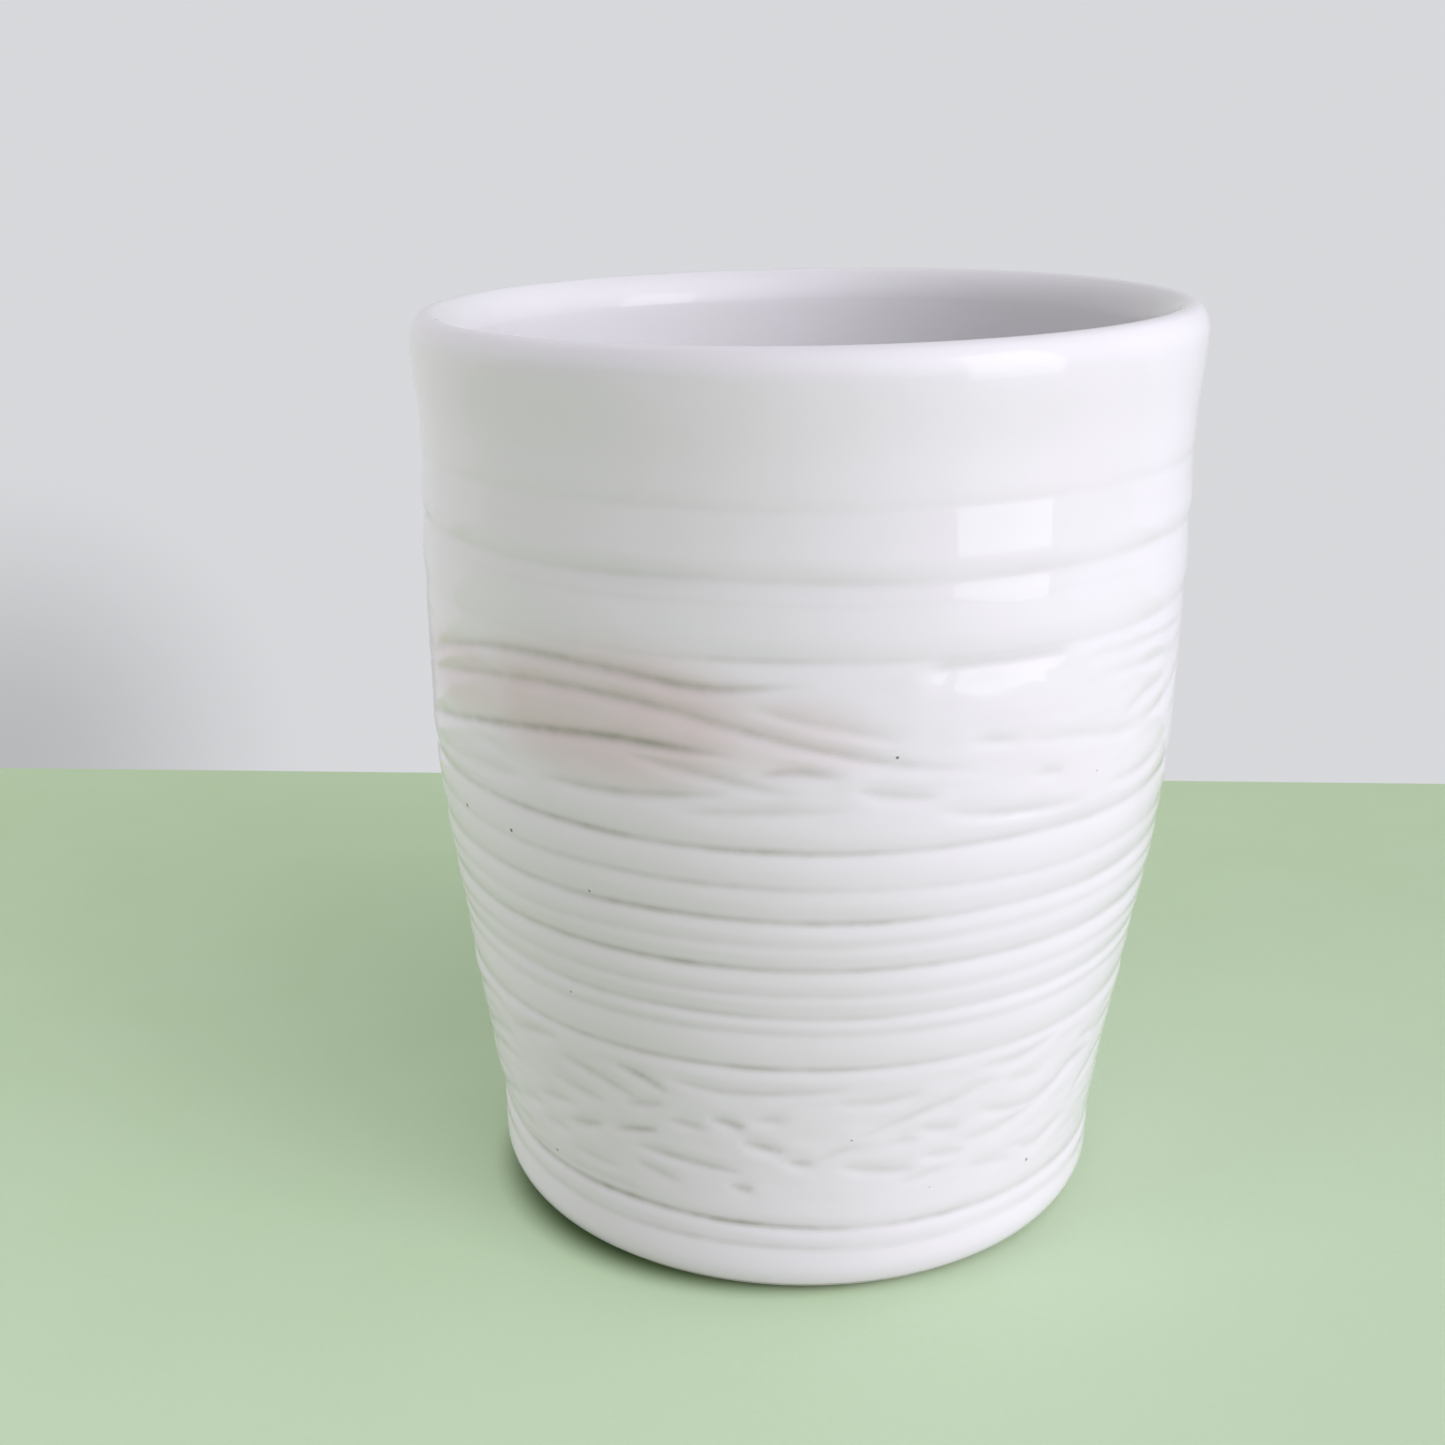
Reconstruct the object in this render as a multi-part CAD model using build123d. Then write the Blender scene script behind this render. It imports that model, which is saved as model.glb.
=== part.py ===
"""Pen holder cup: a one-piece porcelain beaker with a wound-string relief, glazed inside and out.

Millimetres, +Z up, origin at the centre of the resting plane under the foot ring.
Every solid is a revolve, drawn as a closed outline of (radius, height) points in the XZ plane.
"""

import math
import os

from build123d import *

# Overall shape
cup_height = 100.0
foot_radius = 34.7
shoulder_radius = 41.1
upper_flare = 0.7
swell_start = 4.5
swell_end = 58.0

# Wall and floor, the wall measured from the string crowns
wall_thickness = 4.7
inner_wall_heights = (80.0, 60.0, 40.0, 24.0, 16.0)
floor_height = 7.0
floor_flat_radius = 22.0
glaze_thickness = 0.3

# Lip: a small rounding over the crown, easing into wider ones down the outside and the inside
lip_outer_radius = 41.85
outside_rounding = 3.5
crown_rounding = 1.4
inside_rounding = 4.8
outside_join_angle = 40.0
crown_angle = 90.0
inside_join_angle = 125.0
lip_end_angle = 180.0

# Foot ring
foot_rounding = swell_start
ring_inner_radius = 26.6
recess_top_radius = 25.6
recess_height = 1.8
glaze_line_angle = 43.0

# Wound-string relief: grooves between neighbouring strings, from the foot upwards
main_depth = 0.4
minor_depth = 0.15
faint_depth = 0.08
foot_string_grooves = [(6.5, minor_depth), (9.1, main_depth)]
middle_string_grooves = [
    (28.7, main_depth),
    (32.9, minor_depth),
    (34.9, main_depth),
    (37.6, minor_depth),
    (40.4, main_depth),
    (43.3, minor_depth),
    (45.9, main_depth),
    (49.4, minor_depth),
    (53.3, main_depth),
]
upper_string_grooves = [
    (71.9, main_depth),
    (77.2, faint_depth),
    (79.1, main_depth),
    (85.7, minor_depth),
]

# Where the strings cross: shares of the band's height at which its smooth cover is set out
crossing_shares = (0.1, 0.35, 0.65, 0.9)

# Plain band between the last string and the lip
plain_band_recess = 0.35
plain_band_heights = (89.0, 93.0)

# Directions in the radius-height plane
upward = (0.0, 1.0)
downward = (0.0, -1.0)
inward = (-1.0, 0.0)


def crown_radius(height):
    """Radius of the string crowns: a soft swell from the foot to the shoulder, then a slight flare."""
    swell = min(max((height - swell_start) / (swell_end - swell_start), 0.0), 1.0)
    swell_radius = (shoulder_radius - foot_radius) * swell * swell * (3.0 - 2.0 * swell)
    flare = upper_flare * max(height - swell_end, 0.0) / (cup_height - swell_end)
    return foot_radius + swell_radius + flare


def foot_point(angle, radius):
    """Point on the rounded outer corner of the foot, the angle counted in degrees from straight down."""
    turn = math.radians(angle)
    centre_radius = foot_radius - foot_rounding
    return (centre_radius + radius * math.sin(turn), foot_rounding - radius * math.cos(turn))


def arc_on_foot(start, end, radius):
    """Arc of the foot's outer corner between two angles."""
    middle = 0.5 * (start + end)
    return ThreePointArc(foot_point(start, radius), foot_point(middle, radius), foot_point(end, radius))


def string_arcs(grooves, inset):
    """One convex arc for each string, from groove to groove."""
    arcs = []
    for (low, low_depth), (high, high_depth) in zip(grooves, grooves[1:]):
        middle = 0.5 * (low + high)
        arcs.append(
            ThreePointArc(
                (crown_radius(low) - low_depth - inset, low),
                (crown_radius(middle) - inset, middle),
                (crown_radius(high) - high_depth - inset, high),
            )
        )
    return arcs


def crossing_band(lower_groove, upper_groove, inset):
    """The band where the strings cross, drawn as the smooth surface over their crowns."""
    low, low_depth = lower_groove
    high, high_depth = upper_groove
    crown_heights = [low + share * (high - low) for share in crossing_shares]
    points = [(crown_radius(low) - low_depth - inset, low)]
    points += [(crown_radius(height) - inset, height) for height in crown_heights]
    points.append((crown_radius(high) - high_depth - inset, high))
    return Spline(*points)


def plain_band(inset):
    """The smooth band under the lip, very slightly hollow."""
    start_height, start_depth = upper_string_grooves[-1]
    start = (crown_radius(start_height) - start_depth - inset, start_height)
    middle = [(crown_radius(height) - plain_band_recess - inset, height) for height in plain_band_heights]
    return Spline(start, *middle, lip_point(0.0, inset), tangents=(upward, upward))


def crown_position():
    """Distance of the lip's crown from the axis."""
    ease = (outside_rounding - crown_rounding) * math.cos(math.radians(outside_join_angle))
    return lip_outer_radius - outside_rounding + ease


def lip_point(angle, inset):
    """Point on the lip, the angle counted in degrees from the outside over the crown."""
    radius, join_angle = crown_rounding, crown_angle
    if angle < outside_join_angle:
        radius, join_angle = outside_rounding, outside_join_angle
    if angle > inside_join_angle:
        radius, join_angle = inside_rounding, inside_join_angle
    join = math.radians(join_angle)
    spread = radius - crown_rounding
    centre_radius = crown_position() - spread * math.cos(join)
    centre_height = cup_height - crown_rounding - spread * math.sin(join)
    turn = math.radians(angle)
    reach = radius - inset
    return (centre_radius + reach * math.cos(turn), centre_height + reach * math.sin(turn))


def lip_arc(start, end, inset):
    """Arc of the lip between two angles that lie on one of its roundings."""
    middle = 0.5 * (start + end)
    return ThreePointArc(lip_point(start, inset), lip_point(middle, inset), lip_point(end, inset))


def outer_wall(inset):
    """The outside from the top of the foot corner to the crown of the lip."""
    foot_top = (foot_rounding, 0.0)
    edges = string_arcs([foot_top] + foot_string_grooves, inset)
    edges.append(crossing_band(foot_string_grooves[-1], middle_string_grooves[0], inset))
    edges += string_arcs(middle_string_grooves, inset)
    edges.append(crossing_band(middle_string_grooves[-1], upper_string_grooves[0], inset))
    edges += string_arcs(upper_string_grooves, inset)
    edges.append(plain_band(inset))
    edges.append(lip_arc(0.0, outside_join_angle, inset))
    edges.append(lip_arc(outside_join_angle, crown_angle, inset))
    return edges


def inner_wall(inset):
    """The inside from the crown of the lip to the axis: an even wall that rounds into the floor."""
    wall_top = lip_point(lip_end_angle, inset)
    wall = [(crown_radius(height) - wall_thickness + inset, height) for height in inner_wall_heights]
    floor_edge = (floor_flat_radius, floor_height - inset)
    return [
        lip_arc(crown_angle, inside_join_angle, inset),
        lip_arc(inside_join_angle, lip_end_angle, inset),
        Spline(wall_top, *wall, floor_edge, tangents=(downward, inward)),
        Line(floor_edge, (0.0, floor_height - inset)),
    ]


def revolved(edges):
    """Solid of revolution of a closed outline of edges in the radius-height plane."""
    outline = Wire([edge for curve in edges for edge in curve.edges()])
    return revolve(Plane.XZ * Face(outline), Axis.Z, 360)


def porcelain_body():
    """Wall, floor and foot ring in one casting, with the bare foot ring standing on the table."""
    inset_radius = foot_rounding - glaze_thickness
    glaze_line = foot_point(glaze_line_angle, foot_rounding)
    edges = [arc_on_foot(0.0, glaze_line_angle, foot_rounding)]
    edges.append(Line(glaze_line, foot_point(glaze_line_angle, inset_radius)))
    edges.append(arc_on_foot(glaze_line_angle, 90.0, inset_radius))
    edges += outer_wall(glaze_thickness)
    edges += inner_wall(glaze_thickness)
    underside = [
        (0.0, floor_height - glaze_thickness),
        (0.0, recess_height),
        (recess_top_radius, recess_height),
        (ring_inner_radius, 0.0),
        foot_point(0.0, foot_rounding),
    ]
    edges.append(Polyline(*underside))
    return revolved(edges)


def outer_glaze():
    """Gloss coat on the outside, from the glaze line on the foot to the crown of the lip."""
    inset_radius = foot_rounding - glaze_thickness
    edges = [Line(foot_point(glaze_line_angle, inset_radius), foot_point(glaze_line_angle, foot_rounding))]
    edges.append(arc_on_foot(glaze_line_angle, 90.0, foot_rounding))
    edges += outer_wall(0.0)
    edges.append(Line(lip_point(crown_angle, 0.0), lip_point(crown_angle, glaze_thickness)))
    edges += outer_wall(glaze_thickness)
    edges.append(arc_on_foot(glaze_line_angle, 90.0, inset_radius))
    return revolved(edges)


def liner_glaze():
    """Gloss coat on the inside, from the crown of the lip to the middle of the floor."""
    edges = [Line(lip_point(crown_angle, glaze_thickness), lip_point(crown_angle, 0.0))]
    edges += inner_wall(0.0)
    edges.append(Line((0.0, floor_height), (0.0, floor_height - glaze_thickness)))
    edges += inner_wall(glaze_thickness)
    return revolved(edges)


def base_glaze():
    """Gloss coat on the recessed underside, inside the foot ring."""
    taper = (ring_inner_radius - recess_top_radius) * glaze_thickness / recess_height
    low = recess_height - glaze_thickness
    points = [
        (0.0, low),
        (recess_top_radius + taper, low),
        (recess_top_radius, recess_height),
        (0.0, recess_height),
    ]
    return revolved([Polyline(*points, close=True)])


nodes = {
    "porcelain_body": porcelain_body(),
    "outer_glaze": outer_glaze(),
    "liner_glaze": liner_glaze(),
    "base_glaze": base_glaze(),
}

os.makedirs("parts", exist_ok=True)
for name, solid in nodes.items():
    solid.label = name
    export_step(solid, f"parts/{name}.step")
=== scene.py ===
import math

import bpy
import numpy as np
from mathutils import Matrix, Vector


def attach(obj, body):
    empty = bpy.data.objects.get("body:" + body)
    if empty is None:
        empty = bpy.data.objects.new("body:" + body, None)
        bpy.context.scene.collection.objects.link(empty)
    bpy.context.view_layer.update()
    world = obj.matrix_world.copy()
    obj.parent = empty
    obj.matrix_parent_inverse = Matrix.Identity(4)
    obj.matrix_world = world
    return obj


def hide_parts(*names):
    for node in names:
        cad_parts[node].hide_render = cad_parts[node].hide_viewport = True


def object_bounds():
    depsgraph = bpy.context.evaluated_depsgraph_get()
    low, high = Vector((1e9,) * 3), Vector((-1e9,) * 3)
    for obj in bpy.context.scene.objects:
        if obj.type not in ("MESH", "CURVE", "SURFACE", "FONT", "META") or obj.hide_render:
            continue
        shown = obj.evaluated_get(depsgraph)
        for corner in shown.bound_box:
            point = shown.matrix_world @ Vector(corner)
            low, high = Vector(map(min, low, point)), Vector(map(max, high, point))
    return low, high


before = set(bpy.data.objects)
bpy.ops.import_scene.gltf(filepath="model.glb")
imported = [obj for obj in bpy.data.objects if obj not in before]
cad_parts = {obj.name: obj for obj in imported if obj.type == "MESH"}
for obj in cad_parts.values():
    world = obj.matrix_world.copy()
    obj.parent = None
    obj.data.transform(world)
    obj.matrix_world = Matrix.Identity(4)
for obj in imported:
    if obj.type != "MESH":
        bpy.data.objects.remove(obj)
cad_low, cad_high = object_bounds()

# The cup is in millimetres, and the table, the lights and the camera are in metres.
# Angles are in degrees, counted from the front towards the viewer's right.
MM = 0.001
FULL_TURN = 360.0
HALF_TURN = 180.0
# The relief of the front is repeated half a turn round
FRONT_AND_BACK = (0.0, HALF_TURN)

# Cup form, the same numbers as the part
HEIGHT = (cad_high.z - cad_low.z) / MM
FOOT_RADIUS = 34.7
SHOULDER_RADIUS = 41.1
UPPER_FLARE = 0.7
SWELL_START = 4.5
SWELL_END = 58.0
FOOT_ROUNDING = 4.5
GLAZE_LINE_ANGLE = 43.0
GLAZE = 0.3
WALL = 4.7
LIP_OUTER = 41.85
OUTSIDE_ROUNDING = 3.5
CROWN_ROUNDING = 1.4
INSIDE_ROUNDING = 4.8
OUTSIDE_JOIN = 40.0
INSIDE_JOIN = 125.0
INSIDE_END = 172.0
EASE_START = 82.0
LIP_SPREAD = OUTSIDE_ROUNDING - CROWN_ROUNDING
LIP_START = HEIGHT - CROWN_ROUNDING - LIP_SPREAD * math.sin(math.radians(OUTSIDE_JOIN))
FLOOR_HEIGHT = 7.0
FLOOR_FLAT = 22.0
FLOOR_CORNER_TOP = 20.0
RING_INNER = 26.6
RECESS_RADIUS = 25.6
RECESS_HEIGHT = 1.8
TOP_STRING_CROWN = 78.7
BAND_START = 84.9
BAND_RECESS = 0.35
WIDENING_START = 89.5
# The wall hidden under the outside coat is plain between these heights, this far under the string crowns
HIDDEN_WALL = (5.0, 95.0)
BODY_CLEARANCE = 0.95
# Width and height of the eased inner edge of the foot ring
RING_EASE = 0.3
RING_EASE_HEIGHT = 0.25
# The floors of the liner and of the body stop this close to the axis
AXIS_GAP = 0.02

# The lip leans up to the viewer's right and isn't quite level or round
LIP_LEAN = 0.75
LIP_WAVE = 0.12
LIP_WAVES = (4, 2)
LIP_SEED = 7
LEAN_START = 72.0

# The two gloss coats meet on the lip's crown
CROWN_SEAM = 90.0
SEAM_STEP = 0.4

# Columns of the meshes round the cup
COLUMNS = 288
COLUMN_ANGLES = (np.arange(COLUMNS) * FULL_TURN / COLUMNS + HALF_TURN) % FULL_TURN - HALF_TURN
# Rows of the outside: between these heights they are a small step apart, for the relief
RELIEF_ROWS = (6.6, 87.4)
ROW_STEP = 0.29
BAND_ROWS_START = 87.6
FOOT_CORNER_ROWS = 9
FOOT_WALL_ROWS = 6
BAND_ROWS = 16
LIP_ROWS = 13
BACK_LIP_ROWS = 5
BACK_WALL_ROWS = 16
# Rows of the inside and of the body
INNER_LIP_ROWS = 25
WALL_ROWS = 60
FLOOR_CORNER_ROWS = 16
FLOOR_RINGS = [16.0, 9.0, 3.0, AXIS_GAP]
BARE_FOOT_ROWS = 8
BODY_WALL_ROWS = 31
BODY_LIP_ROWS = 41

# Slow unevenness of the walls: (size, degrees it turns with each millimetre up, seed, waves, slowest wave)
OUTSIDE_UNEVENNESS = [(0.07, 1.5, 11, 6, 2), (0.05, -4.0, 12, 5, 3)]
INSIDE_UNEVENNESS = [(0.08, 2.0, 21, 5, 2)]
INSIDE_UNEVEN_RISE = 60.0
UNEVEN_FADE = 6.0
UNEVEN_FOOT_FADE = 2.0

# Grooves between wound strings that lie side by side: height at the front, rise to the viewer's right,
# depth, how dark the glaze pools in them, how far the strings below and above them round off
RING_GROOVES = [
    (6.5, -0.45, 0.13, 0.50, 1.6, 1.3),
    (9.1, -0.75, 0.29, 1.43, 1.3, 1.6),
    (28.7, -0.15, 0.26, 0.94, 1.6, 2.2),
    (32.9, -0.20, 0.10, 0.31, 1.6, 1.0),
    (34.9, -0.35, 0.24, 0.53, 1.2, 2.0),
    (37.6, -0.15, 0.10, 0.33, 1.3, 1.3),
    (40.4, -0.10, 0.29, 1.10, 2.0, 2.0),
    (43.3, 0.20, 0.09, 0.24, 1.3, 1.2),
    (45.9, -0.15, 0.27, 0.99, 1.8, 2.2),
    (49.4, -0.60, 0.10, 0.55, 1.6, 1.6),
    (53.3, -0.30, 0.27, 1.10, 2.2, 2.0),
    (71.9, -0.20, 0.22, 0.42, 3.4, 2.2),
    (77.2, 0.00, 0.05, 0.11, 1.0, 1.0),
    (79.1, 0.00, 0.34, 0.22, 5.6, 2.2),
    (85.7, 0.00, 0.08, 0.07, 1.6, 1.2),
]
# How much the ring grooves wander up and down, and vary in depth and in pooled glaze. The waves are
# (number of waves, slowest wave).
RING_WANDER = 0.10
RING_VARIATION = 0.2
DEPTH_WAVES = (14, 2)
POOL_WAVES = (20, 3)
POOL_REACH = (0.3, 1.5)
WANDER_SEED, DEPTH_SEED, POOL_SEED = 100, 200, 300
# The groove over the upper crossings is shallow where the strings leave it
FADED_GROOVE = 71.9
FADED_CENTRE = -45.0
FADED_REACH = 38.0
FADED_EASE = 14.0
FADED_SHARE = 0.75

# Grooves between strings that cross, on the side facing the viewer: depth, pooling, then (degrees, height)
UPPER_CROSSINGS = [
    (0.24, 1.15, [(-81, 61.7), (-61, 67.3), (-43, 69.8), (-23, 69.8), (-14, 69.1), (3, 70.0)]),
    (0.24, 0.95, [
        (-83, 60.1), (-61, 64.7), (-46, 66.7), (-31, 67.5), (-19, 66.9), (-6, 64.9), (7, 62.7), (29, 60.0),
    ]),
    (0.30, 1.60, [(-79, 56.7), (-61, 59.7), (-43, 62.0), (-26, 63.2), (-6, 62.5)]),
    (0.20, 0.60, [(-7, 67.8), (-1, 66.4), (5, 65.5), (13, 64.2)]),
    (0.19, 0.60, [(-24, 62.0), (-13, 60.7), (-1, 59.1)]),
    (0.23, 0.75, [(-39, 57.6), (-26, 57.8), (-10, 58.9)]),
    (0.17, 0.45, [(-16, 56.8), (-6, 57.2), (6, 57.6)]),
    (0.17, 0.35, [(-73, 55.1), (-56, 56.2), (-39, 57.0)]),
    (0.14, 0.25, [(-53, 59.5), (-47, 59.1), (-41, 58.2)]),
    (0.26, 0.90, [(-6, 60.9), (-1, 61.3), (5, 60.8)]),
    (0.26, 0.85, [(7, 59.6), (12, 58.8), (18, 58.4)]),
    (0.26, 0.85, [(18, 57.1), (25, 56.1), (33, 55.6), (42, 55.3)]),
    (0.19, 0.60, [(22, 63.8), (26, 63.4), (30, 62.9)]),
    (0.19, 0.50, [(31, 62.7), (41, 62.2), (49, 61.0), (57, 60.5)]),
    (0.17, 0.45, [(50, 62.5), (56, 63.8), (65, 64.2)]),
    (0.17, 0.40, [(56, 61.0), (63, 61.5), (73, 62.9)]),
    (0.22, 0.70, [(33, 59.2), (35, 59.1), (38, 58.9)]),
    (0.23, 0.70, [(48, 56.1), (56, 55.7), (65, 56.3)]),
    (0.23, 0.60, [(57, 52.3), (64, 53.1), (71, 52.7)]),
    (0.15, 0.30, [(37, 70.0), (53, 69.6), (75, 68.6)]),
    (0.16, 0.35, [(45, 67.8), (57, 67.0), (73, 65.9)]),
]
LOWER_CROSSINGS = [
    (0.19, 0.55, [(-21, 26.2), (-13, 25.6), (8, 26.2)]),
    (0.26, 1.00, [(-30, 26.3), (-26, 25.7), (-21, 24.4)]),
    (0.21, 0.60, [(-56, 24.9), (-49, 26.1), (-42, 26.9)]),
    (0.17, 0.40, [(-77, 19.9), (-67, 21.9), (-56, 23.5)]),
    (0.23, 0.75, [(-42, 24.9), (-34, 24.0), (-26, 22.6)]),
    (0.21, 0.65, [(-29, 21.7), (-26, 22.1), (-22, 22.7)]),
    (0.21, 0.60, [(-46, 21.6), (-39, 21.3), (-33, 21.0)]),
    (0.21, 0.60, [(-21, 21.0), (-18, 20.8), (-15, 20.5)]),
    (0.26, 0.95, [(-14, 22.0), (-11, 21.6), (-8, 21.2)]),
    (0.19, 0.45, [(-7, 22.2), (-5, 22.4), (-2, 22.3)]),
    (0.19, 0.50, [(-50, 18.0), (-45, 18.6), (-40, 19.0)]),
    (0.24, 0.85, [(-42, 16.6), (-38, 17.1), (-34, 18.0)]),
    (0.27, 1.00, [(-32, 17.8), (-28, 18.5), (-23, 19.3)]),
    (0.19, 0.50, [(-59, 15.5), (-54, 16.0), (-50, 16.3)]),
    (0.26, 0.75, [(-28, 16.8), (-21, 16.3), (-9, 15.5)]),
    (0.21, 0.65, [(-28, 14.5), (-24, 13.9), (-20, 13.4)]),
    (0.22, 0.80, [(-11, 13.8), (-9, 13.6), (-7, 13.4)]),
    (0.15, 0.30, [(-43, 13.4), (-37, 13.0), (-31, 13.1)]),
    (0.17, 0.40, [(-60, 12.5), (-57, 12.1), (-53, 11.7)]),
    (0.15, 0.30, [(-65, 10.4), (-45, 10.7), (-23, 10.9)]),
    (0.26, 0.90, [(-9, 19.6), (-5, 18.9), (-2, 18.4)]),
    (0.26, 0.90, [(-2, 17.5), (0, 17.1), (3, 17.1)]),
    (0.17, 0.40, [(3, 17.5), (6, 18.2), (10, 19.1)]),
    (0.19, 0.50, [(6, 24.6), (13, 24.3), (20, 25.0)]),
    (0.21, 0.65, [(10, 20.2), (18, 21.9), (33, 24.5)]),
    (0.22, 0.65, [(20, 20.3), (24, 19.8), (28, 19.6)]),
    (0.22, 0.70, [(29, 21.5), (37, 20.1), (46, 19.7), (53, 21.6), (63, 21.9)]),
    (0.21, 0.60, [(21, 17.0), (25, 16.5), (29, 16.4)]),
    (0.22, 0.65, [(28, 17.8), (35, 17.7), (47, 19.6)]),
    (0.27, 0.85, [(7, 16.7), (12, 15.9), (20, 15.4)]),
    (0.19, 0.55, [(30, 14.3), (35, 13.7), (41, 12.9)]),
    (0.19, 0.50, [(40, 14.7), (46, 13.5), (55, 15.1)]),
    (0.19, 0.50, [(30, 26.7), (37, 26.2), (47, 27.4)]),
    (0.17, 0.40, [(36, 23.9), (40, 23.4), (45, 23.2)]),
    (0.16, 0.40, [(17, 14.0), (20, 14.1), (26, 14.8)]),
    (0.16, 0.40, [(14, 18.8), (17, 19.1), (21, 19.1)]),
    (0.16, 0.30, [(57, 17.5), (63, 18.8), (69, 20.1)]),
    (0.16, 0.30, [(55, 24.5), (63, 23.5), (71, 23.9)]),
    (0.19, 0.45, [(-79, 11.2), (-70, 13.0), (-60, 14.8), (-55, 14.6)]),
    (0.16, 0.35, [(-51, 14.8), (-46, 15.1), (-42, 15.2)]),
    (0.16, 0.30, [(-84, 16.0), (-74, 18.2), (-62, 20.0), (-55, 20.2)]),
    (0.16, 0.30, [(-80, 24.0), (-70, 26.0), (-58, 27.2)]),
]

# All the crossing grooves together are turned this far to the viewer's right
CROSSING_TURN = 0.4
# A crossing groove thins out towards its ends, and a long one only close to them
LONG_GROOVE = 30.0
LONG_TAPER = 5.0
SHORT_TAPER_POWER = 0.6
# Share of its width that a groove keeps at the ends, and the share that its pooled glaze has there and gains
# towards the middle
END_WIDTH = 0.55
POOL_END_WIDTH = 0.7
POOL_WIDTH_GAIN = 0.6
# A wide string at the top of the upper crossings: centre and half width in degrees, height of the groove
# over it, depth, how far the strings under and over the groove round off
WIDE_STRING = (27.0, 13.0, 70.8, 0.48, 4.6, 2.2)
WIDE_STRING_EASE = 5.0

GROOVE_WIDTH = 1.7
GROOVE_ROUNDING = 0.22
# Where grooves meet, the deeper one counts for nearly all of the depth
DEPTH_POWER = 4.0
POOL_WIDTH = 0.36
# Pooling is strongest around this angle on the front, and half a turn round
POOL_CENTRE = -18.0
POOL_SPREAD = 31.0
POOL_LEAST = 0.35
# The depth at which a hollow gets its full shade
FULL_DEPTH = 0.5

# The strings cross in two bands, (lowest, highest) height, with shallow hollows between them
CROSSING_BANDS = [(10.5, 28.5), (54.5, 71.5)]
BAND_EASE = 2.5
LATTICE_TURNS = 26
LATTICE_SLANT = 0.62
LATTICE_PHASE = 1.3
LATTICE_DEPTH = 0.05
# How far the lower crossings stand out at the cup's two sides, and more on the left and less on the right
SIDE_SWELL = 0.42
LEFT_SWELL = 0.14
SWELL_BELOW, SWELL_EASE_BELOW = 1.0, 6.0
SWELL_ABOVE, SWELL_EASE_ABOVE = 6.0, 8.0

# Iron specks in the glaze: (degrees, height, radius)
SPECKS = [
    (-58.0, 50.3, 0.30),
    (-45.0, 50.4, 0.28),
    (-30.5, 46.4, 0.22),
    (-36.8, 33.6, 0.20),
    (-47.6, 11.0, 0.27),
    (9.4, 19.9, 0.13),
    (45.6, 11.7, 0.27),
    (23.8, 12.7, 0.14),
    (12.7, 62.6, 0.20),
    (45.0, 57.8, 0.20),
    (150.0, 66.0, 0.28),
    (-130.0, 31.0, 0.25),
    (110.0, 22.0, 0.30),
]


def smoothstep(x):
    x = np.clip(x, 0.0, 1.0)
    return x * x * (3.0 - 2.0 * x)


def turned_from(degrees, centre, side):
    """Degrees from a place on the front, or from the same place half a turn round."""
    return (degrees - centre - side + HALF_TURN) % FULL_TURN - HALF_TURN


def crown_radius(z):
    """Radius of the string crowns at height z."""
    z = np.asarray(z, float)
    swell = smoothstep((z - SWELL_START) / (SWELL_END - SWELL_START))
    flare = UPPER_FLARE * np.clip((z - SWELL_END) / (HEIGHT - SWELL_END), 0.0, 1.0)
    return FOOT_RADIUS + (SHOULDER_RADIUS - FOOT_RADIUS) * swell + flare


def closed_noise(degrees, seed, waves=9, slowest=1):
    """Smooth random curve around the cup, about -1 to 1, that meets itself after a full turn."""
    rng = np.random.default_rng(seed)
    turn = np.radians(degrees)
    value = np.zeros_like(turn)
    for wave in range(slowest, slowest + waves):
        value += rng.normal() * np.cos(wave * turn + rng.uniform(0.0, 2.0 * math.pi))
    return value / math.sqrt(0.5 * waves) * 0.5


def groove_line(points, degrees):
    """Height of a groove line at each angle, as a smooth curve through its points."""
    angles = np.array([p[0] for p in points], float)
    heights = np.array([p[1] for p in points], float)
    slopes = np.gradient(heights, angles)
    line = np.interp(degrees, angles, heights)
    for i in range(len(points) - 1):
        inside = (degrees >= angles[i]) & (degrees <= angles[i + 1])
        span = angles[i + 1] - angles[i]
        t = (degrees[inside] - angles[i]) / span
        line[inside] = (
            heights[i] * (1 + 2 * t) * (1 - t) ** 2
            + heights[i + 1] * t * t * (3 - 2 * t)
            + slopes[i] * span * t * (1 - t) ** 2
            - slopes[i + 1] * span * t * t * (1 - t)
        )
    return line


def groove_profile(distance, width):
    """Cross-section of a groove between round strings: 1 in the valley, 0 on the crown of each string."""
    away = (np.sqrt(distance ** 2 + GROOVE_ROUNDING ** 2) - GROOVE_ROUNDING) / width
    return np.clip(1.0 - away, 0.0, 1.0) ** 2


def pooling_round_cup(row):
    """How strongly the glaze pools at each angle."""
    lobes = sum(
        np.exp(-((turned_from(row, POOL_CENTRE, side) / POOL_SPREAD) ** 2)) for side in FRONT_AND_BACK
    )
    return POOL_LEAST + (1.0 - POOL_LEAST) * lobes


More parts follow.
